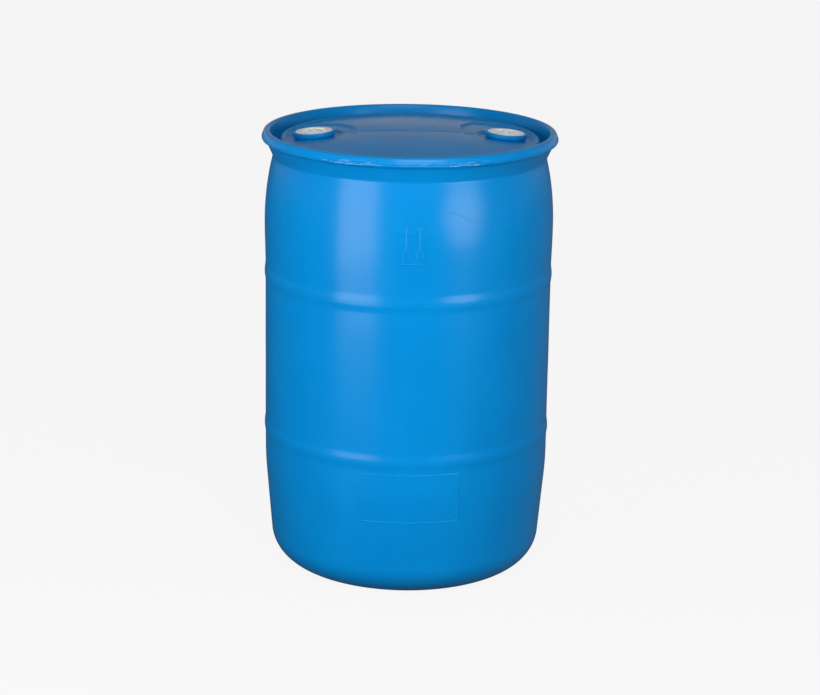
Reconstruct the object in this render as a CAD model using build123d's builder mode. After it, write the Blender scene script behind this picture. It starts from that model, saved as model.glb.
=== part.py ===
"""Tight-head plastic drum, 208 litres (55 US gallons), with two bungs in its head.

Millimetres, +Z up. The origin is the centre of the base, on the ground. The marking
panel and the arrows face -Y, and the bungs lie on the X axis: the buttress-thread
bung at -X and the pipe-thread bung at +X.
"""
from build123d import *
from math import atan2, cos, sin, sqrt
import os

# Drum: overall sizes
HEIGHT = 889.0
RING_RADIUS = 294.0
BARREL_RADIUS = 286.5
WALL = 4.4

# Drum: base
FOOT_INNER_RADIUS = 196.0
FOOT_CORNER_RADIUS = 68.0
BASE_EDGE_RADIUS = 268.5
BASE_CROWN = 12.0
BASE_PAD_RADIUS = 188.0
BASE_PAD_Z = 3.0
TAPER_TOP_Z = 212.0
TAPER_CURVE = 690.0

# Drum: hoops and shoulder
HOOP_HEIGHTS = (287.0, 604.0)
HOOP_RISE = 1.8
HOOP_HALF_CREST = 5.0
HOOP_HALF_FOOT = 13.0
SHOULDER_RADIUS = 287.6
SHOULDER_START_Z = 685.0
SHOULDER_CORNER_Z = 770.3
SHOULDER_CURVE = 541.0

# Drum: handling ring and the channel inside it
NECK_RADIUS = 271.2
NECK_Z = 838.5
RING_UNDERSIDE_Z = 867.0
RING_LIP_Z = 872.5
RING_NIB_Z = 876.0
CHANNEL_FLOOR_Z = 852.0
CHANNEL_OUTER_RADIUS = 270.0
CHANNEL_INNER_RADIUS = 257.5
CHANNEL_PLY = 5.5

# Drum: domed head
HEAD_CROWN_Z = 886.2
HEAD_CURVE = 2550.0
HEAD_EDGE_RADIUS = 256.8
HEAD_ARC_RADIUS = 236.0

# Wells and pockets in the head, round the bungs
WELL_DEPTH = 3.2
WELL_INNER_X = 104.0
WELL_OUTER_X = 275.0
POCKET_RADIUS = 58.0
POCKET_DEPTH = 6.8
BUNG_X = 189.0
HEAD_HOLE_RADIUS = 35.0

# Relief on the wall
RELIEF = 0.8
ARROW_PITCH = 25.9
ARROW_TOP_Z = 757.0
ARROW_BASE_Z = 684.5
PANEL_WIDTH = 190.0
PANEL_BOTTOM_Z = 164.0
PANEL_TOP_Z = 264.5
PANEL_LINE = 2.4
STROKE = 2.0
MARK_REACH = 40.0

# Sections of the shell below its head, from the ground up, and the height of each one's top
SECTION_TOPS = {
    "drum_base": 25.0,
    "drum_foot": 80.0,
    "drum_barrel": 790.0,
    "drum_shoulder": 842.0,
}

# Neck fittings, measured along the bung's axis from the pocket's floor
COLLAR_HEIGHT = 13.0
COLLAR_RADIUS = 42.0
SEAT_HEIGHT = 7.0
SEAT_RADIUS = 36.9
FITTING_DEPTH = 18.0
THREAD_CLEARANCE = 0.3

# Bungs and the reducer plugs in them
FLANGE_RADIUS = 36.3
GASKET_PLY = 1.6
SEAL_GAP = 0.2
FLANGE_TOP = 13.2
SKIRT_DEPTH = 13.0
RECESS_RADIUS = 25.0
RECESS_FLOOR = 8.8
WEB_UNDERSIDE = 5.2
HUB_RADIUS = 17.0
HUB_DEPTH = 6.0
PIPE_THREAD_RADIUS = 13.2
REDUCER_RADIUS = 16.6
REDUCER_GASKET_PLY = 1.2
REDUCER_TOP = 12.8
REDUCER_DEPTH = 3.0
DRIVE_SQUARE = 9.7
WRENCH_LUGS = 4

# Bung name: side of the head, and radius of its outside thread
BUNGS = {
    "buttress": (-1, 28.0),
    "pipe": (1, 29.8),
}


def head_z(radius, lowered=0.0):
    """Height of the domed head's upper surface at a distance from the drum's axis."""
    return HEAD_CROWN_Z - lowered - radius**2 / (2 * HEAD_CURVE)


def head_tangent_z(radius, lowered=0.0):
    """Height, at a radius, of the line that leaves the dome at HEAD_ARC_RADIUS."""
    slope = -HEAD_ARC_RADIUS / HEAD_CURVE
    return head_z(HEAD_ARC_RADIUS, lowered) + slope * (radius - HEAD_ARC_RADIUS)


def head_curve(outer_radius, lowered=0.0):
    """The dome's parabola in a half section, from a radius to the drum's axis."""
    crown = head_z(0, lowered)
    return Bezier((outer_radius, head_z(outer_radius, lowered)), (outer_radius / 2, crown), (0, crown))


def base_curve(ply):
    """The pushed-up base's parabola in a half section, from the drum's axis outwards."""
    crown = BASE_CROWN + ply
    return Bezier((0, crown), (BASE_PAD_RADIUS / 2, crown), (BASE_PAD_RADIUS, BASE_PAD_Z + ply))


def rounded_line(*corners, close=False):
    """A line through (x, y, fillet radius) corners; an open one's ends have no fillet."""
    radii = [fillet for _, _, fillet in corners]
    points = [(x, y) for x, y, _ in corners]
    if not close:
        radii = radii[1:-1]
    return FilletPolyline(*points, radius=radii, close=close)


def wall_corners():
    """Outside of the drum, from the foot up over the ring and down to the head's edge."""
    corners = [
        (BASE_PAD_RADIUS, BASE_PAD_Z, 0),
        (FOOT_INNER_RADIUS, 0, 0),
        (BASE_EDGE_RADIUS, 0, FOOT_CORNER_RADIUS),
        (BARREL_RADIUS, TAPER_TOP_Z, TAPER_CURVE),
    ]
    for drift, hoop_z in zip((0.0, -0.3), HOOP_HEIGHTS):
        foot = BARREL_RADIUS + drift
        corners += [
            (foot, hoop_z - HOOP_HALF_FOOT, 20),
            (foot + HOOP_RISE, hoop_z - HOOP_HALF_CREST, 12),
            (foot + HOOP_RISE - 0.1, hoop_z + HOOP_HALF_CREST, 12),
            (foot - 0.1, hoop_z + HOOP_HALF_FOOT, 20),
        ]
    corners += [
        (SHOULDER_RADIUS, SHOULDER_START_Z, 1500),
        (SHOULDER_RADIUS, SHOULDER_CORNER_Z, SHOULDER_CURVE),
        (NECK_RADIUS, NECK_Z, 5),
        (284.3, RING_UNDERSIDE_Z, 2),
        (293.0, RING_LIP_Z, 1),
        (RING_RADIUS, RING_NIB_Z, 0.8),
        (288.6, HEIGHT, 6),
        (277.8, HEIGHT, 4),
        (CHANNEL_OUTER_RADIUS, CHANNEL_FLOOR_Z, 4),
        (CHANNEL_INNER_RADIUS, CHANNEL_FLOOR_Z, 4),
        (HEAD_EDGE_RADIUS, head_tangent_z(HEAD_EDGE_RADIUS), 6),
        (HEAD_ARC_RADIUS, head_z(HEAD_ARC_RADIUS), 0),
    ]
    return corners


def inside_corners():
    """Inside of the drum, from the base up the wall and under the channel to the head."""
    under_channel = CHANNEL_FLOOR_Z - CHANNEL_PLY
    head_edge = HEAD_EDGE_RADIUS - WALL
    return [
        (BASE_PAD_RADIUS, BASE_PAD_Z + WALL, 0),
        (FOOT_INNER_RADIUS, WALL, 0),
        (BASE_EDGE_RADIUS - WALL, WALL, FOOT_CORNER_RADIUS - WALL),
        (BARREL_RADIUS - WALL, TAPER_TOP_Z, TAPER_CURVE),
        (SHOULDER_RADIUS - WALL, SHOULDER_START_Z, 1500),
        (SHOULDER_RADIUS - WALL, SHOULDER_CORNER_Z, SHOULDER_CURVE - WALL),
        (NECK_RADIUS - WALL, NECK_Z, 6),
        (261.0, under_channel, 5),
        (head_edge, under_channel, 5),
        (head_edge, head_tangent_z(head_edge, WALL), 4),
        (HEAD_ARC_RADIUS, head_z(HEAD_ARC_RADIUS, WALL), 0),
    ]


def dome(lowered):
    """A solid below the head's surface, lowered by a depth, wide enough to trim the wells."""
    with BuildPart() as solid:
        with BuildSketch(Plane.XZ):
            with BuildLine():
                head_curve(WELL_OUTER_X, lowered)
                Polyline(
                    (0, head_z(0, lowered)),
                    (0, CHANNEL_FLOOR_Z - 20),
                    (WELL_OUTER_X, CHANNEL_FLOOR_Z - 20),
                    (WELL_OUTER_X, head_z(WELL_OUTER_X, lowered)),
                )
            make_face()
        revolve(axis=Axis.Z)
    return solid.part


def well(side, margin, lowered):
    """The prism over a well, its floor following the dome at a depth below the head.

    The +X well has straight sides; the -X well is a round lobe that opens outwards.
    """
    with BuildPart() as prism:
        with BuildSketch(Plane.XY.offset(CHANNEL_FLOOR_Z + 2)):
            if side > 0:
                with BuildLine():
                    rounded_line(
                        (WELL_INNER_X - margin, -75 - margin, 60),
                        (118 - margin, -128 - margin, 25),
                        (WELL_OUTER_X, -92 - margin, 0),
                        (WELL_OUTER_X, 92 + margin, 0),
                        (118 - margin, 128 + margin, 25),
                        (WELL_INNER_X - margin, 75 + margin, 60),
                        close=True,
                    )
                make_face()
            else:
                with Locations((-180, 0)):
                    Ellipse(76 + margin, 107 + margin)
                with BuildLine():
                    Polyline(
                        (-180, -107 - margin),
                        (-WELL_OUTER_X, -82 - margin),
                        (-WELL_OUTER_X, 82 + margin),
                        (-180, 107 + margin),
                        close=True,
                    )
                make_face()
        extrude(amount=HEIGHT - CHANNEL_FLOOR_Z)
        with BuildSketch(Plane.XY.offset(CHANNEL_FLOOR_Z)):
            Circle(HEAD_EDGE_RADIUS + 5 - margin)
        extrude(amount=HEIGHT - CHANNEL_FLOOR_Z, mode=Mode.INTERSECT)
        add(dome(lowered), mode=Mode.SUBTRACT)
    return prism.part


def bung_plane(side):
    """Half section through a bung's axis: X is the distance from it, Y the height along it.

    The axis is square to the dome, so it leans outwards, and Y = 0 is the pocket's floor.
    """
    lean = atan2(BUNG_X, HEAD_CURVE)
    outward = Vector(cos(lean), 0, -side * sin(lean))
    upward = Vector(side * sin(lean), 0, cos(lean))
    foot = (side * BUNG_X, 0, head_z(BUNG_X) - POCKET_DEPTH)
    return Plane(origin=foot, x_dir=outward, z_dir=outward.cross(upward))


def seat_plane(side):
    """Plane across a bung's axis at the pocket's floor, facing up along the axis."""
    section = bung_plane(side)
    return Plane(origin=section.origin, x_dir=section.x_dir, z_dir=section.y_dir)


def arrow(x):
    """One upright arrow of the pair: a head, a shaft and a forked foot, in the sketch."""
    head_height = 13
    shaft_end = ARROW_BASE_Z + 28
    leg_top = shaft_end - 6
    leg_spread = 6
    with Locations((x, ARROW_TOP_Z - head_height / 2)):
        Triangle(a=18, b=15.8, c=15.8)
    with Locations((x, (ARROW_TOP_Z - head_height + shaft_end) / 2)):
        Rectangle(1.5 * STROKE, ARROW_TOP_Z - head_height - shaft_end + STROKE)
    for hand in (-1, 1):
        with Locations((x + hand * leg_spread / 2, shaft_end - leg_spread / 2)):
            Rectangle(STROKE, leg_spread * sqrt(2) + STROKE, rotation=hand * 45)
        with Locations((x + hand * leg_spread, (leg_top + ARROW_BASE_Z + 7) / 2)):
            Rectangle(STROKE, leg_top - ARROW_BASE_Z - 7 + STROKE)


def turned(section, *corners):
    """A solid turned about a half section's Y axis from (radius, height, fillet) corners."""
    with BuildPart() as solid:
        with BuildSketch(section):
            with BuildLine():
                rounded_line(*corners, close=True)
            make_face()
        revolve(axis=Axis(section.origin, section.y_dir))
    return solid.part


def save(solid, name):
    """Label a finished piece and write it to its own file."""
    solid.label = name
    export_step(solid, f"parts/{name}.step")


os.makedirs("parts", exist_ok=True)

# The drum's hollow: a revolved solid that stays a wall's thickness under wells and pockets
with BuildPart() as hollow:
    with BuildSketch(Plane.XZ):
        with BuildLine():
            base_curve(WALL)
            rounded_line(*inside_corners())
            head_curve(HEAD_ARC_RADIUS, WALL)
            Line((0, head_z(0, WALL)), (0, BASE_CROWN + WALL))
        make_face()
    revolve(axis=Axis.Z)
    for side in (-1, 1):
        add(well(side, WALL, WELL_DEPTH + WALL), mode=Mode.SUBTRACT)
        with BuildSketch(seat_plane(side).offset(-WALL)):
            Circle(POCKET_RADIUS + WALL)
        extrude(amount=4 * WALL, mode=Mode.SUBTRACT)

# A thin skin that follows the wall and stands RELIEF proud of it, to trim the raised marks
with BuildPart() as skin:
    with BuildSketch(Plane.XZ):
        with BuildLine():
            rounded_line(
                (BASE_EDGE_RADIUS + RELIEF, 0, 0),
                (BARREL_RADIUS + RELIEF, TAPER_TOP_Z, TAPER_CURVE),
                (BARREL_RADIUS + RELIEF - 0.4, HOOP_HEIGHTS[1] + HOOP_HALF_FOOT, 20),
                (SHOULDER_RADIUS + RELIEF, SHOULDER_START_Z, 1500),
                (SHOULDER_RADIUS + RELIEF, SHOULDER_CORNER_Z, SHOULDER_CURVE),
                (NECK_RADIUS + RELIEF, NECK_Z, 0),
                (NECK_RADIUS - WALL / 2, NECK_Z, 0),
                (SHOULDER_RADIUS - WALL / 2, SHOULDER_CORNER_Z, SHOULDER_CURVE),
                (SHOULDER_RADIUS - WALL / 2, SHOULDER_START_Z, 1500),
                (BARREL_RADIUS - WALL / 2 - 0.4, HOOP_HEIGHTS[1] + HOOP_HALF_FOOT, 20),
                (BARREL_RADIUS - WALL / 2, TAPER_TOP_Z, TAPER_CURVE),
                (BASE_EDGE_RADIUS - WALL / 2, 0, 0),
                close=True,
            )
        make_face()
    revolve(axis=Axis.Z)

# Raised marks on the front: two arrows on a bar, and the frame of the blank marking panel
FRONT = Plane(origin=(0, -RING_RADIUS, 0), x_dir=(1, 0, 0), z_dir=(0, -1, 0))
with BuildPart() as marks:
    with BuildSketch(FRONT):
        for x in (-ARROW_PITCH / 2, ARROW_PITCH / 2):
            arrow(x)
        with Locations((0, ARROW_BASE_Z)):
            Rectangle(2 * ARROW_PITCH, STROKE)
        with Locations((0, (PANEL_BOTTOM_Z + PANEL_TOP_Z) / 2)):
            Rectangle(PANEL_WIDTH, PANEL_TOP_Z - PANEL_BOTTOM_Z)
            Rectangle(
                PANEL_WIDTH - 2 * PANEL_LINE,
                PANEL_TOP_Z - PANEL_BOTTOM_Z - 2 * PANEL_LINE,
                mode=Mode.SUBTRACT,
            )
    extrude(amount=-MARK_REACH)
    add(skin.part, mode=Mode.INTERSECT)

# The blow-moulded shell: barrel, base, handling ring and head are one piece of plastic
with BuildPart() as drum_body:
    with BuildSketch(Plane.XZ):
        with BuildLine():
            base_curve(0)
            rounded_line(*wall_corners())
            head_curve(HEAD_ARC_RADIUS)
            Line((0, head_z(0)), (0, BASE_CROWN))
        make_face()
    revolve(axis=Axis.Z)
    for side in (-1, 1):
        add(well(side, 0, WELL_DEPTH), mode=Mode.SUBTRACT)
        with BuildSketch(seat_plane(side)):
            Circle(POCKET_RADIUS)
        extrude(amount=COLLAR_HEIGHT, mode=Mode.SUBTRACT)
    add(hollow.part, mode=Mode.SUBTRACT)
    for side in (-1, 1):
        with BuildSketch(seat_plane(side).offset(-3 * WALL)):
            Circle(HEAD_HOLE_RADIUS)
        extrude(amount=4 * WALL, mode=Mode.SUBTRACT)
    add(marks.part)

# The moulding is kept as sections that meet face to face, so each has a simple shape
rest = drum_body.part
for name, top_z in SECTION_TOPS.items():
    with BuildPart() as below:
        add(rest)
        split(bisect_by=Plane.XY.offset(top_z), keep=Keep.BOTTOM)
    with BuildPart() as above:
        add(rest)
        split(bisect_by=Plane.XY.offset(top_z), keep=Keep.TOP)
    save(below.part, name)
    rest = above.part
save(rest, "drum_head")

for name, (side, thread_radius) in BUNGS.items():
    section = bung_plane(side)
    seat = seat_plane(side)
    bore_radius = thread_radius + THREAD_CLEARANCE
    flange_underside = SEAT_HEIGHT + GASKET_PLY

    # Neck fitting: a collar on the pocket's floor, and a flange behind the head's wall
    neck = turned(
        section,
        (bore_radius, -FITTING_DEPTH, 0.5),
        (bore_radius + 3.5, -FITTING_DEPTH, 1),
        (bore_radius + 3.5, -2 * WALL, 1),
        (COLLAR_RADIUS + 4, -2 * WALL, 1.5),
        (COLLAR_RADIUS + 4, -WALL, 0),
        (HEAD_HOLE_RADIUS - 0.05, -WALL, 0),
        (HEAD_HOLE_RADIUS - 0.05, 0, 0),
        (COLLAR_RADIUS - 3.2, 0, 0),
        (COLLAR_RADIUS - 3.2, 2, 1),
        (COLLAR_RADIUS, 4.5, 2.5),
        (COLLAR_RADIUS, COLLAR_HEIGHT, 2.6),
        (SEAT_RADIUS, COLLAR_HEIGHT, 0.8),
        (SEAT_RADIUS, SEAT_HEIGHT, 0),
        (bore_radius, SEAT_HEIGHT, 0.4),
    )
    save(neck, f"{name}_neck")

    # Bung: a threaded cup with a flange, a wrench recess and a bored hub in the middle
    cup = turned(
        section,
        (FLANGE_RADIUS, flange_underside, 0.4),
        (FLANGE_RADIUS, FLANGE_TOP, 1),
        (RECESS_RADIUS, FLANGE_TOP, 0.6),
        (RECESS_RADIUS, RECESS_FLOOR, 0.6),
        (PIPE_THREAD_RADIUS + THREAD_CLEARANCE, RECESS_FLOOR, 0),
        (PIPE_THREAD_RADIUS + THREAD_CLEARANCE, -HUB_DEPTH, 0.4),
        (HUB_RADIUS, -HUB_DEPTH, 0.8),
        (HUB_RADIUS, WEB_UNDERSIDE, 1),
        (thread_radius - 4, WEB_UNDERSIDE, 1),
        (thread_radius - 4, -SKIRT_DEPTH, 0.4),
        (thread_radius, -SKIRT_DEPTH, 1.2),
        (thread_radius, flange_underside, 0),
    )
    with BuildPart() as bung:
        add(cup)
        with BuildSketch(seat.offset(RECESS_FLOOR - 0.5)):
            with PolarLocations(RECESS_RADIUS - 2.5, WRENCH_LUGS):
                Rectangle(6, 7)
        extrude(amount=FLANGE_TOP - RECESS_FLOOR)
    save(bung.part, f"{name}_bung")

    # Flat gasket on the neck's seat, under the bung's flange
    gasket_top = flange_underside - SEAL_GAP
    gasket = turned(
        section,
        (thread_radius + 0.5, SEAT_HEIGHT, 0.4),
        (FLANGE_RADIUS - 0.1, SEAT_HEIGHT, 0.4),
        (FLANGE_RADIUS - 0.1, gasket_top, 0.4),
        (thread_radius + 0.5, gasket_top, 0.4),
    )
    save(gasket, f"{name}_bung_gasket")

    # Reducer plug in the bung's hub, with a square socket for a drum wrench
    reducer_underside = RECESS_FLOOR + REDUCER_GASKET_PLY
    shank = turned(
        section,
        (0, -REDUCER_DEPTH, 0),
        (PIPE_THREAD_RADIUS, -REDUCER_DEPTH, 1),
        (PIPE_THREAD_RADIUS, reducer_underside, 0),
        (REDUCER_RADIUS, reducer_underside, 0.3),
        (REDUCER_RADIUS, REDUCER_TOP, 0.8),
        (0, REDUCER_TOP, 0),
    )
    with BuildPart() as reducer:
        add(shank)
        with BuildSketch(seat.offset(REDUCER_TOP)):
            Rectangle(DRIVE_SQUARE, DRIVE_SQUARE)
        extrude(amount=-DRIVE_SQUARE, mode=Mode.SUBTRACT)
    save(reducer.part, f"{name}_reducer_plug")

    # Flat gasket on the bung's recess floor, under the reducer plug's flange
    reducer_gasket_top = reducer_underside - SEAL_GAP
    reducer_gasket = turned(
        section,
        (PIPE_THREAD_RADIUS + 0.5, RECESS_FLOOR, 0.3),
        (REDUCER_RADIUS - 0.2, RECESS_FLOOR, 0.3),
        (REDUCER_RADIUS - 0.2, reducer_gasket_top, 0.3),
        (PIPE_THREAD_RADIUS + 0.5, reducer_gasket_top, 0.3),
    )
    save(reducer_gasket, f"{name}_reducer_gasket")
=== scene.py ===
"""Looks for the 208 litre tight-head plastic drum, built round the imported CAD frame.

Metres, +Z up, in the CAD frame: the base's centre is the origin and the drum's front is -Y.
"""
import math

import bmesh
import bpy
import numpy as np
from mathutils import Matrix, Quaternion, Vector


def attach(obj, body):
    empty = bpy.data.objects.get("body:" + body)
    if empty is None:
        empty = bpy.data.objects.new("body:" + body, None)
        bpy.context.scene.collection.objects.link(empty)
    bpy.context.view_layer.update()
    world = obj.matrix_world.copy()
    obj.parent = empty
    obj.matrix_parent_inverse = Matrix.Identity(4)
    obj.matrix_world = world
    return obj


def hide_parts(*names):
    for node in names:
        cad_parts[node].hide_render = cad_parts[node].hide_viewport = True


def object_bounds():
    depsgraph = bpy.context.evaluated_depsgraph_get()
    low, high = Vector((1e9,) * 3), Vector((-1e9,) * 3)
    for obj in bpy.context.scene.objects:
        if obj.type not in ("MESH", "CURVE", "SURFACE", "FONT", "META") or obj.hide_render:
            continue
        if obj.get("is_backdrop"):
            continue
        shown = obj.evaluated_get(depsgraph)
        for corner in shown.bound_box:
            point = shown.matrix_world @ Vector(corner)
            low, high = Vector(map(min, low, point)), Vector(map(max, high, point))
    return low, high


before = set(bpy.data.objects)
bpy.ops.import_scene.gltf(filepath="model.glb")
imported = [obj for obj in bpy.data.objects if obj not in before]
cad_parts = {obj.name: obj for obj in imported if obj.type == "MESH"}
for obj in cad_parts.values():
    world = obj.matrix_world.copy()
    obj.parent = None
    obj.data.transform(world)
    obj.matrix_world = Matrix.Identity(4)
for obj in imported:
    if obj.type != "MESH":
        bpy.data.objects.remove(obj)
cad_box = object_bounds()

MM = 0.001

# The CAD nodes that make up the moulded shell
SHELL = sorted(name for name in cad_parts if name.startswith("drum_"))

# Moulded shell
WALL = 4.4 * MM
BARREL_RADIUS = 286.5 * MM
RING_EDGE_RADIUS = 293 * MM
HEAD_CROWN_Z = 886.2 * MM
HEAD_CURVE = 2.55

# Wells and pockets in the head
WELL_DEPTH = 3.2 * MM
POCKET_RADIUS = 58 * MM
POCKET_DEPTH = 6.8 * MM
BUNG_X = 189 * MM
HOLE_RADIUS = 35 * MM
LEAN = math.atan2(BUNG_X, HEAD_CURVE)

# Bungs: side of the head, thread radius and thread pitch
BUNGS = {
    "buttress": (-1, 28.0 * MM, 4.0 * MM),
    "pipe": (1, 29.8 * MM, 2.209 * MM),
}

# Relief on the front wall
MARK_RISE = 0.8 * MM
ARROW_X = 12.95 * MM
ARROW_TOP_Z = 757 * MM
BAR_Z = 684.5 * MM
PANEL_HALF_WIDTH = 93.8 * MM
PANEL_LOW_Z = 165.2 * MM
PANEL_HIGH_Z = 263.3 * MM

# Stretches of the ring's edge with rougher trimming, in degrees from the front
ROUGH_EDGE = ((-35.5, -12.8), (13.0, 25.0))

SEGMENTS = 384
SEED = 7


# ---------------------------------------------------------------- mesh helpers
def new_object(name, vertices, faces, body, slot, *replaced):
    """A smooth-shaded piece in the row frame, on a CAD body, standing for CAD nodes."""
    mesh = bpy.data.meshes.new(name)
    mesh.from_pydata([tuple(v) for v in vertices], [], [tuple(f) for f in faces])
    cleaner = bmesh.new()
    cleaner.from_mesh(mesh)
    bmesh.ops.recalc_face_normals(cleaner, faces=cleaner.faces)
    cleaner.to_mesh(mesh)
    cleaner.free()
    mesh.polygons.foreach_set("use_smooth", [True] * len(mesh.polygons))
    mesh.update()
    piece = bpy.data.objects.new(name, mesh)
    bpy.context.scene.collection.objects.link(piece)
    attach(piece, body)
    if replaced:
        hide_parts(*replaced)
    return piece


def rounded(corners, spacing):
    """Points along a line through (x, y, fillet radius) corners, with arcs at the corners."""
    points = [corners[0][:2]]
    for before, here, after in zip(corners, corners[1:], corners[2:]):
        p = np.array(here[:2])
        back = np.array(before[:2]) - p
        ahead = np.array(after[:2]) - p
        back_unit = back / np.linalg.norm(back)
        ahead_unit = ahead / np.linalg.norm(ahead)
        cosine = float(np.clip(back_unit @ ahead_unit, -1, 1))
        turn = math.pi - math.acos(cosine)
        if here[2] <= 0 or turn < 1e-4:
            points.append(tuple(p))
            continue
        reach = here[2] * math.tan(turn / 2)
        start = p + back_unit * reach
        end = p + ahead_unit * reach
        middle = back_unit + ahead_unit
        centre = p + middle / np.linalg.norm(middle) * here[2] / math.cos(turn / 2)
        steps = max(2, int(math.ceil(here[2] * turn / spacing)))
        for i in range(steps + 1):
            share = i / steps
            a, b = start - centre, end - centre
            weight_a = math.sin((1 - share) * turn) / math.sin(turn)
            weight_b = math.sin(share * turn) / math.sin(turn)
            points.append(tuple(centre + a * weight_a + b * weight_b))
    points.append(corners[-1][:2])
    return points


def spaced(points, spacing):
    """The same line with extra points, so that no two are further apart than spacing."""
    result = [points[0]]
    for a, b in zip(points, points[1:]):
        length = math.dist(a, b)
        if length < 1e-7:
            continue
        steps = max(1, int(math.ceil(length / spacing)))
        for i in range(1, steps + 1):
            share = i / steps
            result.append(tuple(a[k] + (b[k] - a[k]) * share for k in (0, 1)))
    return result


def smoothstep(value, low, high):
    """0 below low, 1 above high, and a smooth climb between."""
    t = np.clip((value - low) / (high - low), 0, 1)
    return t * t * (3 - 2 * t)


def grid_faces(rows, columns, start=0):
    """Quads of a closed band of rows, each with the same number of columns round."""
    faces = []
    for i in range(rows - 1):
        for j in range(columns):
            k = (j + 1) % columns
            a = start + i * columns
            b = a + columns
            faces.append((a + j, a + k, b + k, b + j))
    return faces


def bung_matrix(side):
    """Row frame from a bung's own frame, whose Z is its axis and Z = 0 the pocket's floor."""
    foot_z = HEAD_CROWN_Z - BUNG_X**2 / (2 * HEAD_CURVE) - POCKET_DEPTH
    turn = Quaternion((0, 1, 0), side * LEAN).to_matrix().to_4x4()
    return Matrix.Translation((side * BUNG_X, 0, foot_z)) @ turn


def turned(name, outline, body, slot, node, side, thread, columns=144):
    """A closed ring turned about a bung's axis from an (r, z) outline.

    thread(r, z, angle) gives the radius at an outline point, all the way round.
    """
    angles = np.arange(columns) * 2 * math.pi / columns
    vertices = []
    for r, z in outline:
        radius = thread(r, z, angles)
        height = np.full(columns, z)
        vertices += list(zip(radius * np.cos(angles), radius * np.sin(angles), height))
    rows = len(outline)
    faces = grid_faces(rows, columns)
    last = (rows - 1) * columns
    for j in range(columns):
        k = (j + 1) % columns
        faces.append((last + j, last + k, k, j))
    place = bung_matrix(side)
    placed = [place @ Vector(v) for v in vertices]
    return new_object(name, placed, faces, body, slot, node)


def thread_depth(z, angle, pitch, depth, low, high):
    """How far a right-hand thread's groove cuts in, at a height and an angle."""
    phase = (z / pitch - angle / (2 * math.pi)) % 1.0
    groove = smoothstep(phase, 0.12, 0.34) * (1 - smoothstep(phase, 0.62, 0.90))
    fade = smoothstep(z, low, low + pitch) * (1 - smoothstep(z, high - pitch, high))
    return depth * groove * fade


# ---------------------------------------------------------------- drum body
def polygon_distance(x, y, corners):
    """Signed distance to a polygon: negative inside."""
    best = np.full(x.shape, 1e9)
    inside = np.zeros(x.shape, bool)
    for (ax, ay), (bx, by) in zip(corners, corners[1:] + corners[:1]):
        ex, ey = bx - ax, by - ay
        wx, wy = x - ax, y - ay
        t = np.clip((wx * ex + wy * ey) / (ex * ex + ey * ey), 0, 1)
        best = np.minimum(best, np.hypot(wx - ex * t, wy - ey * t))
        crosses = (ay > y) != (by > y)
        with np.errstate(divide="ignore", invalid="ignore"):
            at = ax + ex * (y - ay) / (by - ay) if by != ay else np.full(x.shape, -1e9)
        inside ^= crosses & (x < at)
    return np.where(inside, -best, best)


def straight_well(x, y):
    """Signed distance to the +X well's outline, a rounded trapezium open to the edge."""
    soft = 26 * MM
    corners = [
        (104 * MM + soft, -66 * MM),
        (123 * MM + soft, -129 * MM + soft),
        (300 * MM, -86 * MM + soft),
        (300 * MM, 86 * MM - soft),
        (123 * MM + soft, 129 * MM - soft),
        (104 * MM + soft, 66 * MM),
    ]
    return polygon_distance(x, y, corners) - soft


def lobed_well(x, y):
    """Signed distance to the -X well's outline, an elliptic lobe open to the edge."""
    u = np.hypot((x + 180 * MM) / (76 * MM), y / (107 * MM))
    lobe = (u - 1) * 88 * MM
    corners = [
        (-180 * MM, -107 * MM),
        (-180 * MM, 107 * MM),
        (-300 * MM, 75 * MM),
        (-300 * MM, -75 * MM),
    ]
    return np.minimum(lobe, polygon_distance(x, y, corners))


def head_height(x, y, lowered=0.0):
    """Height of the head: a dome crowned in two halves, with its wells, pockets and ridge."""
    # The dome, with a low hump each side of the parting line
    hump = 1.8 * MM * (1 - (1 - np.abs(y) / (120 * MM)) ** 2)
    edge = smoothstep(np.hypot(x, y), 150 * MM, 250 * MM)
    z = HEAD_CROWN_Z - (x**2 + y**2) / (2 * HEAD_CURVE) + hump * (1 - edge)
    # The two wells, and the parting ridge that runs from one to the other
    z = z - WELL_DEPTH * (1 - smoothstep(straight_well(x, y), -2.6 * MM, 0.6 * MM))
    z = z - WELL_DEPTH * (1 - smoothstep(lobed_well(x, y), -3.6 * MM, 0.8 * MM))
    ridge = np.exp(-((y / (1.6 * MM)) ** 2)) * 0.9 * MM
    between = smoothstep(x, -104 * MM, -98 * MM) * (1 - smoothstep(x, 128 * MM, 132 * MM))
    z = z + ridge * between
    # A flat round pocket about each bung, square to its leaning axis
    for side in (-1, 1):
        dx = x - side * BUNG_X
        floor = HEAD_CROWN_Z - BUNG_X**2 / (2 * HEAD_CURVE) - POCKET_DEPTH - side * math.tan(LEAN) * dx
        distance = np.hypot(dx * math.cos(LEAN), y)
        inside = 1 - smoothstep(distance, POCKET_RADIUS - 5 * MM, POCKET_RADIUS + 1 * MM)
        z = z * (1 - inside) + floor * inside
    # A small notch where the ridge meets the lobed well
    notch = np.exp(-(((x + 107 * MM) / (4 * MM)) ** 2) - (y / (3 * MM)) ** 2) * 1.6 * MM
    return z - notch - lowered


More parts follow.
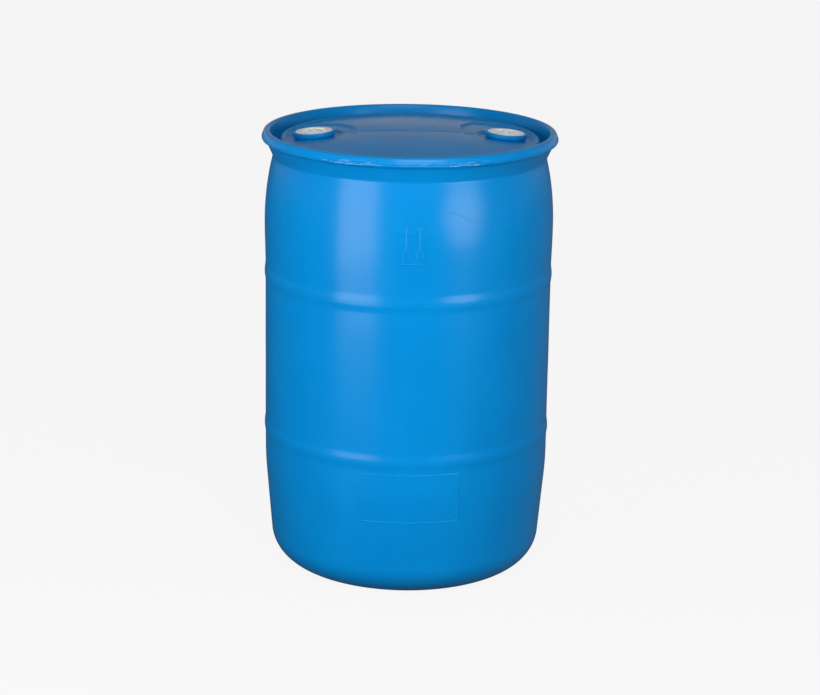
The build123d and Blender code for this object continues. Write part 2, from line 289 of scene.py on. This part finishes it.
def outside_profile():
    """(r, z) points from the base's centre up the wall, over the ring, to the head's edge."""
    # Corners as radius, height and fillet radius, in millimetres; first the pushed-up base
    mm = [(r, 12 - 9 * (r / 188) ** 2, 0) for r in range(0, 188, 16)]
    mm += [
        (188, 3, 8),
        (196, 0, 3),
        (268.5, 0, 68),
        (286.5, 212, 690),
    ]
    # The two hoops
    for foot, z in ((286.5, 287), (286.5 - 0.3, 604)):
        mm += [
            (foot, z - 17, 30),
            (foot + 1.8, z - 4, 14),
            (foot + 1.7, z + 4, 14),
            (foot - 0.1, z + 17, 30),
        ]
    # Shoulder, handling ring with the groove along its edge, channel, and the head's edge
    mm += [
        (287.6, 685, 1500),
        (287.6, 770.3, 541),
        (271.2, 838.5, 5),
        (284.3, 867, 2),
        (292.3, 871.8, 0.8),
        (293.2, 873.6, 0.4),
        (292.3, 874.8, 0.4),
        (293.2, 876.2, 0.6),
        (288.6, 889, 6),
        (277.8, 889, 4),
        (270, 852, 4),
        (257.5, 852, 4),
        (256.8, 874.4, 6),
        (250, 875.0, 0),
    ]
    line = rounded([(r * MM, z * MM, fillet * MM) for r, z, fillet in mm], 1.6 * MM)
    return spaced(line, 9 * MM)


def inside_profile():
    """(r, z) points of the hollow, from the base's centre to the underside of the head."""
    # Corners as radius, height and fillet radius, in millimetres
    mm = [
        (0, 16.4, 0),
        (188, 7.4, 20),
        (196, 4.4, 10),
        (264.1, 4.4, 63.6),
        (282.1, 212, 690),
        (283.2, 685, 1500),
        (283.2, 770, 536.6),
        (266.8, 838.5, 6),
        (261, 846.5, 5),
        (252.4, 846.5, 5),
        (252.4, 870.6, 4),
        (250, 870.6, 0),
    ]
    line = rounded([(r * MM, z * MM, fillet * MM) for r, z, fillet in mm], 12 * MM)
    return spaced(line, 60 * MM)


def head_radii():
    """Radii of the head's rings, closer together where the wells and pockets are."""
    outer = np.linspace(248 * MM, 96 * MM, 92)
    inner = np.linspace(90 * MM, 6 * MM, 13)
    return list(outer) + list(inner)


def wall_sag(z, angle):
    """Slow unevenness of the blow-moulded wall, in metres: low waves on the barrel."""
    band = smoothstep(z, 60 * MM, 200 * MM) * (1 - smoothstep(z, 740 * MM, 820 * MM))
    waves = (
        np.sin(3 * angle + 9 * z + 0.7)
        + 0.7 * np.sin(5 * angle - 13 * z + 2.1)
        + 0.45 * np.sin(9 * angle + 31 * z + 1.3)
        + 0.25 * np.sin(14 * angle - 52 * z + 0.4)
    )
    return band * waves * 0.16 * MM


def ring_roughness(generator, profile_row, angles):
    """Small unevenness along the trimmed edge of the handling ring, rougher on two stretches."""
    r, z = profile_row
    near = math.exp(-(((z - 875 * MM) / (4 * MM)) ** 2)) if r > 285 * MM else 0.0
    if near < 0.05:
        return np.zeros(len(angles))
    noise = generator.normal(size=len(angles))
    smooth = np.clip((noise + np.roll(noise, 1)) / 2, -1.4, 1.0)
    azimuth = np.degrees(angles) - 270
    rough = np.zeros(len(angles))
    for low, high in ROUGH_EDGE:
        rough += smoothstep(azimuth, low - 3, low) * (1 - smoothstep(azimuth, high, high + 3))
    return smooth * (0.14 + 0.38 * rough) * MM * near


def build_drum_body(finish):
    """The whole shell as one closed mesh: outside, inside, and the two holes in the head."""
    generator = np.random.default_rng(SEED)
    angles = np.arange(SEGMENTS) * 2 * math.pi / SEGMENTS
    rows = []

    def turned_row(r, z, shift):
        radius = r + shift
        rows.append(np.stack([radius * np.cos(angles), radius * np.sin(angles), np.full(SEGMENTS, z)], 1))

    outside = outside_profile()
    inside = inside_profile()
    radii = head_radii()
    for r, z in outside[1:]:
        turned_row(r, z, wall_sag(z, angles) * (r > 0.25) + ring_roughness(generator, (r, z), angles))
    outside_count = len(rows)
    for r in radii:
        x, y = r * np.cos(angles), r * np.sin(angles)
        rows.append(np.stack([x, y, head_height(x, y)], 1))
    outside_end = len(rows)
    for r in radii[::-1]:
        x, y = r * np.cos(angles), r * np.sin(angles)
        rows.append(np.stack([x, y, head_height(x, y, WALL)], 1))
    inside_head_end = len(rows)
    for r, z in inside[:0:-1]:
        turned_row(r, z, 0.0)
    vertices = np.concatenate(rows)

    faces = grid_faces(outside_end, SEGMENTS)
    faces += grid_faces(len(rows) - outside_end, SEGMENTS, outside_end * SEGMENTS)
    tips = [
        ((0, 0, outside[0][1]), 0),
        ((0, 0, float(head_height(np.array(0.0), np.array(0.0)))), outside_end - 1),
        ((0, 0, float(head_height(np.array(0.0), np.array(0.0), WALL))), outside_end),
        ((0, 0, inside[0][1]), len(rows) - 1),
    ]
    points = [tuple(v) for v in vertices]
    for tip, row in tips:
        points.append(tip)
        centre = len(points) - 1
        for j in range(SEGMENTS):
            faces.append((centre, row * SEGMENTS + j, row * SEGMENTS + (j + 1) % SEGMENTS))

    # Holes: drop the head's faces over each neck, on both skins, and join the two rims
    def underside(index):
        row, column = divmod(index, SEGMENTS)
        return (inside_head_end - 1 - (row - outside_count)) * SEGMENTS + column

    head_low = outside_count * SEGMENTS
    head_high = outside_end * SEGMENTS
    in_hole = np.zeros(len(points), bool)
    for side in (-1, 1):
        flat = np.hypot(vertices[:, 0] - side * BUNG_X, vertices[:, 1])
        in_hole[: len(vertices)] |= (flat < HOLE_RADIUS) & (vertices[:, 2] > 0.86)
    kept = []
    dropped_edges = {}
    for face in faces:
        if any(in_hole[v] for v in face):
            if all(head_low <= v < head_high for v in face):
                for a, b in zip(face, face[1:] + face[:1]):
                    dropped_edges[(a, b)] = dropped_edges.get((a, b), 0) + 1
            continue
        kept.append(face)
    for a, b in list(dropped_edges):
        if (b, a) in dropped_edges:
            continue
        kept.append((a, b, underside(b), underside(a)))
    used = sorted({v for face in kept for v in face})
    number = {old: new for new, old in enumerate(used)}
    points = [points[v] for v in used]
    faces = [tuple(number[v] for v in face) for face in kept]
    piece = new_object("drum_shell", points, faces, "drum", "drum_blue", *SHELL)
    piece.data.materials.append(finish)


# ---------------------------------------------------------------- raised marks
def bead(line, width, rise, wall):
    """Vertices and faces of a raised bead that follows an (x, z) line over the front wall.

    wall(x, z, rise) gives the point that stands a height above the wall there.
    """
    points = spaced(line, 2 * MM)
    # Its section, as shares of the width and heights over the wall; its foot is sunk in the wall
    across = (
        (-0.5, -1 * MM),
        (-0.5, 0.3 * rise),
        (-0.3, rise),
        (0.3, rise),
        (0.5, 0.3 * rise),
        (0.5, -1 * MM),
    )
    vertices = []
    for i, (x, z) in enumerate(points):
        x0, z0 = points[max(i - 1, 0)]
        x1, z1 = points[min(i + 1, len(points) - 1)]
        length = math.hypot(x1 - x0, z1 - z0)
        side_x, side_z = (z1 - z0) / length, -(x1 - x0) / length
        for share, height in across:
            offset = share * width
            vertices.append(wall(x + side_x * offset, z + side_z * offset, height))
    count = len(across)
    faces = grid_faces(len(points), count)
    last = (len(points) - 1) * count
    faces += [tuple(range(count)), tuple(last + k for k in range(count))]
    return vertices, faces


def build_beads(name, beads, wall, finish):
    """One piece made of beads, each given as its line, its width and its rise."""
    vertices, faces = [], []
    for line, width, rise in beads:
        more, around = bead(line, width, rise, wall)
        start = len(vertices)
        vertices += more
        faces += [tuple(start + v for v in face) for face in around]
    piece = new_object(name, vertices, faces, "drum", "drum_blue")
    piece.data.materials.append(finish)


def arrow_beads(x):
    """An upright arrow with an open head, a shaft, and a foot that forks into two legs."""
    neck_z = ARROW_TOP_Z - 13 * MM
    fork_z = BAR_Z + 28 * MM
    head = [(x - 9 * MM, neck_z), (x, ARROW_TOP_Z - 1 * MM), (x + 9 * MM, neck_z)]
    shaft = [(x, ARROW_TOP_Z - 2 * MM), (x, fork_z)]
    beads = [(head, 2.4 * MM, MARK_RISE), (shaft, 3.4 * MM, MARK_RISE)]
    for spread in (-6 * MM, 6 * MM):
        leg = [(x, fork_z), (x + spread, fork_z - 6 * MM), (x + spread, BAR_Z + 7 * MM)]
        beads.append((leg, 2.2 * MM, MARK_RISE))
    return beads


def build_marks(finish):
    """Two upright arrows on a bar, the frame of the blank marking panel, and a light scuff."""
    profile = [(z, r) for r, z in outside_profile() if r > 0.25 and z < 838 * MM]
    heights = [z for z, _ in profile]
    radii = [r for _, r in profile]

    def wall(x, z, rise):
        radius = float(np.interp(z, heights, radii))
        turn = math.asin(x / radius)
        radius += float(wall_sag(np.array(z), np.array(turn - math.pi / 2))) + rise
        return radius * math.sin(turn), -radius * math.cos(turn), z

    beads = arrow_beads(-ARROW_X) + arrow_beads(ARROW_X)
    bar = [(-2 * ARROW_X, BAR_Z), (2 * ARROW_X, BAR_Z)]
    beads.append((bar, 2 * MM, MARK_RISE))
    panel = [
        (-PANEL_HALF_WIDTH, PANEL_LOW_Z),
        (PANEL_HALF_WIDTH, PANEL_LOW_Z),
        (PANEL_HALF_WIDTH, PANEL_HIGH_Z),
        (-PANEL_HALF_WIDTH, PANEL_HIGH_Z),
        (-PANEL_HALF_WIDTH, PANEL_LOW_Z),
    ]
    beads.append((panel, 2.4 * MM, MARK_RISE))
    scuff = []
    for share in (i / 24 for i in range(25)):
        azimuth = math.radians(10.2 + 20.8 * share)
        scuff.append((BARREL_RADIUS * math.sin(azimuth), (787 - 50 * share**1.5) * MM))
    beads.append((scuff, 1.2 * MM, 0.25 * MM))
    # finish is a lighter blue: a painted highlight along the raised marks, and the pale line of the scuff
    build_beads("front_marks", beads, wall, finish)


def build_flash(finish):
    """Slivers of trimmed flash along the ring's rougher stretches; their pale colour is a painted
    highlight.
    """
    generator = np.random.default_rng(SEED + 1)

    def wall(x, z, rise):
        radius = RING_EDGE_RADIUS - 0.1 * MM + rise
        turn = math.asin(x / radius)
        return radius * math.sin(turn), -radius * math.cos(turn), z

    def across(azimuth):
        return RING_EDGE_RADIUS * math.sin(math.radians(azimuth))

    beads = []
    for low, high in ROUGH_EDGE:
        azimuth = low
        while azimuth < high:
            length = generator.uniform(0.8, 3.2)
            z = (874.4 + generator.uniform(-1.6, 1.6)) * MM
            tilt = generator.uniform(-0.5, 0.5) * MM
            width = generator.uniform(0.7, 1.3) * MM
            line = [(across(azimuth), z), (across(azimuth + length), z + tilt)]
            beads.append((line, width, 0.7 * MM))
            azimuth += length * generator.uniform(0.7, 1.7)
    build_beads("ring_flash", beads, wall, finish)


# ---------------------------------------------------------------- bungs
def build_bung(name, finish):
    """A threaded cup with a flange, a wrench recess with four lugs, and a bored hub."""
    side, thread_radius, pitch = BUNGS[name]
    body = f"{name}_bung"
    # Corners as radius, height and fillet radius, in millimetres
    r = thread_radius / MM
    corners = [
        (36.3, 10, 0),
        (36.3, 13.2, 1),
        (25, 13.2, 0.6),
        (25, 8.8, 0.6),
        (13.5, 8.8, 0.3),
        (13.5, -6, 0.4),
        (17, -6, 0.8),
        (17, 5.2, 1),
        (r - 4, 5.2, 1),
        (r - 4, -13, 0.4),
        (r, -13, 1.2),
        (r, 8.6, 0.2),
        (36.3, 8.6, 0.4),
        (36.3, 10, 0),
    ]
    line = rounded([(a * MM, b * MM, c * MM) for a, b, c in corners], 0.4 * MM)
    line = spaced(line, 0.45 * MM)[:-1]

    def thread(radius, z, angle):
        if abs(radius - thread_radius) > 0.05 * MM or z > 8 * MM:
            return np.full(len(angle), radius)
        return radius - thread_depth(z, angle, pitch, 0.42 * pitch, -12.6 * MM, 8 * MM)

    piece = turned(f"{body}_cup", line, body, "bung_white", body, side, thread)
    piece.data.materials.append(finish)
    place = bung_matrix(side)
    size = Matrix.Diagonal((5.6 * MM, 7 * MM, 4.6 * MM, 1))
    shape = Matrix.Translation((22.6 * MM, 0, 10.6 * MM)) @ size
    lugs = bmesh.new()
    for quarter in range(4):
        spin = Matrix.Rotation(quarter * math.pi / 2, 4, "Z")
        block = bmesh.ops.create_cube(lugs, size=1)["verts"]
        bmesh.ops.transform(lugs, matrix=place @ spin @ shape, verts=block)
    bmesh.ops.bevel(lugs, geom=lugs.edges[:], offset=0.7 * MM, segments=3, affect="EDGES")
    vertices = [tuple(v.co) for v in lugs.verts]
    lugs.verts.index_update()
    faces = [tuple(v.index for v in f.verts) for f in lugs.faces]
    lugs.free()
    piece = new_object(f"{body}_lugs", vertices, faces, body, "bung_white")
    piece.data.materials.append(finish)


# ---------------------------------------------------------------- materials
class Nodes:
    """A small wrapper that makes and links shader nodes."""

    def __init__(self, name):
        self.material = bpy.data.materials.new(name)
        self.material.use_nodes = True
        self.tree = self.material.node_tree
        self.tree.nodes.clear()
        self.output = self.make("ShaderNodeOutputMaterial")
        self.shader = self.make("ShaderNodeBsdfPrincipled")
        self.link(self.shader.outputs["BSDF"], self.output.inputs["Surface"])
        self.place = self.make("ShaderNodeTexCoord").outputs["Object"]

    def make(self, kind, **values):
        node = self.tree.nodes.new(kind)
        for key, value in values.items():
            setattr(node, key, value)
        return node

    def link(self, source, target):
        self.tree.links.new(source, target)

    def noise(self, scale, detail=3.0, roughness=0.5, stretch=(1, 1, 1)):
        mapping = self.make("ShaderNodeMapping")
        mapping.inputs["Scale"].default_value = stretch
        self.link(self.place, mapping.inputs["Vector"])
        node = self.make("ShaderNodeTexNoise")
        node.inputs["Scale"].default_value = scale
        node.inputs["Detail"].default_value = detail
        node.inputs["Roughness"].default_value = roughness
        self.link(mapping.outputs["Vector"], node.inputs["Vector"])
        return node.outputs["Fac"]

    def math(self, operation, a, b):
        node = self.make("ShaderNodeMath", operation=operation)
        for index, value in enumerate((a, b)):
            if isinstance(value, (int, float)):
                node.inputs[index].default_value = value
            else:
                self.link(value, node.inputs[index])
        return node.outputs[0]

    def map_range(self, value, low, high, to_low, to_high):
        node = self.make("ShaderNodeMapRange")
        self.link(value, node.inputs["Value"])
        for key, number in (("From Min", low), ("From Max", high), ("To Min", to_low), ("To Max", to_high)):
            node.inputs[key].default_value = number
        return node.outputs["Result"]

    def mix(self, share, first, second):
        """A blend of two constant colours."""
        node = self.make("ShaderNodeMix", data_type="RGBA")
        self.link(share, node.inputs["Factor"])
        sockets = [socket for socket in node.inputs if socket.type == "RGBA"]
        for socket, colour in zip(sockets, (first, second)):
            socket.default_value = (*colour, 1)
        return [socket for socket in node.outputs if socket.type == "RGBA"][0]

    def bump(self, height, strength, distance, after=None):
        node = self.make("ShaderNodeBump")
        node.inputs["Strength"].default_value = strength
        node.inputs["Distance"].default_value = distance
        self.link(height, node.inputs["Height"])
        if after is not None:
            self.link(after, node.inputs["Normal"])
        return node.outputs["Normal"]

    def set(self, **values):
        for key, value in values.items():
            self.shader.inputs[key.replace("_", " ")].default_value = value


def blue_plastic(name, dark, light):
    """Blow-moulded high-density polyethylene: even blue, satin, faintly cloudy and pebbled."""
    n = Nodes(name)
    cloud = n.noise(5.5, 4.0, 0.55)
    streak = n.noise(9.0, 3.0, 0.5, stretch=(1, 1, 0.08))
    speck = n.noise(340.0, 2.0, 0.6)
    tone = n.math("ADD", n.math("MULTIPLY", cloud, 0.6), n.math("MULTIPLY", streak, 0.4))
    colour = n.mix(n.map_range(tone, 0.36, 0.64, 0.0, 1.0), dark, light)
    n.link(colour, n.shader.inputs["Base Color"])
    matt = n.math("ADD", cloud, n.math("MULTIPLY", speck, 0.3))
    n.link(n.map_range(matt, 0.45, 0.85, 0.21, 0.29), n.shader.inputs["Roughness"])
    wide = n.bump(n.noise(16.0, 2.0, 0.5), 0.14, 0.0012)
    pebble = n.bump(n.noise(420.0, 2.0, 0.55), 0.06, 0.0004, after=wide)
    n.link(pebble, n.shader.inputs["Normal"])
    n.set(IOR=1.5, Specular_IOR_Level=0.2)
    return n.material


def bung_plastic(name, light, dark):
    """Injection-moulded white polyethylene, a little soiled."""
    n = Nodes(name)
    dirt = n.noise(140.0, 4.0, 0.6)
    patch = n.noise(38.0, 3.0, 0.5)
    soil = n.math("ADD", n.math("MULTIPLY", dirt, 0.5), n.math("MULTIPLY", patch, 0.5))
    share = n.map_range(soil, 0.42, 0.62, 0, 1)
    n.link(n.mix(share, light, dark), n.shader.inputs["Base Color"])
    n.link(n.map_range(dirt, 0.3, 0.7, 0.38, 0.5), n.shader.inputs["Roughness"])
    n.link(n.bump(n.noise(600.0, 2.0), 0.05, 0.0003), n.shader.inputs["Normal"])
    n.set(IOR=1.5)
    return n.material


def gasket_rubber():
    """Black EPDM sheet rubber with a fine matt grain."""
    n = Nodes("gasket_rubber")
    grain = n.noise(900.0, 3.0)
    colour = n.mix(n.map_range(grain, 0.35, 0.65, 0, 1), (0.012, 0.012, 0.013), (0.028, 0.028, 0.03))
    n.link(colour, n.shader.inputs["Base Color"])
    n.link(n.map_range(grain, 0.3, 0.7, 0.6, 0.8), n.shader.inputs["Roughness"])
    n.link(n.bump(grain, 0.1, 0.0002), n.shader.inputs["Normal"])
    return n.material


# ---------------------------------------------------------------- stage
def build_floor():
    """A wide pale floor that neither lights the drum nor shows in it."""
    bpy.ops.mesh.primitive_circle_add(vertices=96, radius=40, fill_type="NGON", location=(0, 0, -0.0005))
    floor = bpy.context.object
    floor.name = "floor"
    floor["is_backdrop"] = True
    n = Nodes("floor_pale")
    n.set(Base_Color=(0.04, 0.04, 0.04, 1), Roughness=1.0, Specular_IOR_Level=0.0)
    n.set(Emission_Color=(1, 1, 1, 1), Emission_Strength=0.9)
    floor.data.materials.append(n.material)
    floor.visible_diffuse = False
    floor.visible_glossy = False


def build_world():
    """A surround that the camera sees as plain pale, and that lights the drum softly."""
    world = bpy.data.worlds.new("studio")
    bpy.context.scene.world = world
    world.use_nodes = True
    tree = world.node_tree
    tree.nodes.clear()
    output = tree.nodes.new("ShaderNodeOutputWorld")
    seen = tree.nodes.new("ShaderNodeBackground")
    seen.inputs["Color"].default_value = (0.92, 0.92, 0.92, 1)
    felt = tree.nodes.new("ShaderNodeBackground")
    direction = tree.nodes.new("ShaderNodeTexCoord")
    split = tree.nodes.new("ShaderNodeSeparateXYZ")
    tree.links.new(direction.outputs["Generated"], split.inputs[0])

    def ramp(axis, low, high, to_low, to_high):
        node = tree.nodes.new("ShaderNodeMapRange")
        tree.links.new(split.outputs[axis], node.inputs["Value"])
        for key, number in (("From Min", low), ("From Max", high), ("To Min", to_low), ("To Max", to_high)):
            node.inputs[key].default_value = number
        return node.outputs["Result"]

    def blend(share, first, second):
        node = tree.nodes.new("ShaderNodeMix")
        for socket, value in zip(node.inputs, (share, None, first, second)):
            if isinstance(value, float):
                socket.default_value = value
            elif value is not None:
                tree.links.new(value, socket)
        return node.outputs[0]

    # A pale band low behind the drum, darker below it, and a dim surround in front
    low_back = ramp("X", -0.5, 0.7, 0.03, 0.13)
    high_back = ramp("Z", 0.07, 0.24, 0.56, 0.26)
    back = blend(ramp("Z", -0.10, 0.02, 0.0, 1.0), low_back, high_back)
    tree.links.new(blend(ramp("Y", -0.8, 0.9, 0.0, 1.0), 0.10, back), felt.inputs["Color"])
    path = tree.nodes.new("ShaderNodeLightPath")
    mix = tree.nodes.new("ShaderNodeMixShader")
    tree.links.new(path.outputs["Is Camera Ray"], mix.inputs["Fac"])
    tree.links.new(felt.outputs[0], mix.inputs[1])
    tree.links.new(seen.outputs[0], mix.inputs[2])
    tree.links.new(mix.outputs[0], output.inputs["Surface"])


def build_lights():
    """Soft studio lights: one each side in front of the drum, and one high beside the camera."""

    def soft_light(name, shape, position, target, width, height, power):
        data = bpy.data.lights.new(name, "AREA")
        data.shape = shape
        data.size = width
        data.size_y = height
        data.energy = power
        light = bpy.data.objects.new(name, data)
        light.location = position
        light.visible_camera = False
        light.rotation_mode = "QUATERNION"
        light.rotation_quaternion = (Vector(target) - Vector(position)).to_track_quat("-Z", "Y")
        bpy.context.scene.collection.objects.link(light)

    soft_light("box_left", "RECTANGLE", (-1.30, -1.55, 0.80), (0, 0, 0.7), 1.1, 1.4, 30)
    soft_light("disc_right", "ELLIPSE", (1.30, -1.60, 0.84), (0, 0, 0.7), 1.05, 1.0, 17)
    soft_light("front", "RECTANGLE", (0.5, -4.2, 4.0), (0, 0, 0.6), 3.0, 2.0, 126)


def build_camera():
    """The camera stands in front of the drum, looks a little down on it, and is slightly swung."""
    distance = 4.644
    height = 1.768
    swing = math.radians(-1.9)
    roll = math.radians(0.836)
    target = Vector((0.0059, 0, 0.4405))
    data = bpy.data.cameras.new("camera")
    data.sensor_width = 36
    data.lens = 104.54
    data.clip_end = 200
    camera = bpy.data.objects.new("camera", data)
    spin = Matrix.Rotation(swing, 4, "Z")
    camera.location = spin @ Vector((0, -distance, height))
    forward = spin @ target - camera.location
    camera.rotation_mode = "QUATERNION"
    camera.rotation_quaternion = forward.to_track_quat("-Z", "Y") @ Quaternion((0, 0, 1), roll)
    bpy.context.scene.collection.objects.link(camera)
    bpy.context.scene.camera = camera


# ---------------------------------------------------------------- the scene
blue = blue_plastic("blue_hdpe", (0.0, 0.208, 0.555), (0.0, 0.234, 0.604))
# Lighter blue for the front marks: a painted highlight on the raised arrows, bar and panel frame, and the
# scuff's pale line
marks_painted_highlight_and_scuff = blue_plastic("blue_hdpe_painted_highlight_and_scuff", (0.0, 0.230, 0.57), (0.0, 0.272, 0.63))
# Pale blue for the ring's flash: a painted highlight on its broken edge
flash_painted_highlight = blue_plastic("blue_hdpe_flash_painted_highlight", (0.06, 0.34, 0.64), (0.30, 0.56, 0.76))
white = bung_plastic("bung_white", (0.92, 0.94, 0.93), (0.84, 0.87, 0.86))
black = gasket_rubber()
build_drum_body(blue)
build_marks(marks_painted_highlight_and_scuff)
build_flash(flash_painted_highlight)
for name in BUNGS:
    build_bung(name, white)
for name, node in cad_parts.items():
    if name in SHELL or name.endswith("_bung"):
        continue
    finish = black if "gasket" in name else (blue if "neck" in name else white)
    node.data.materials.clear()
    node.data.materials.append(finish)
build_floor()
build_world()
build_lights()
build_camera()
bpy.context.scene.view_settings.view_transform = "Standard"


def corners(box):
    """A box's two corners as plain lists of numbers."""
    return [[float(v) for v in corner] for corner in box]


{"cad": corners(cad_box), "visual": corners(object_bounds())}
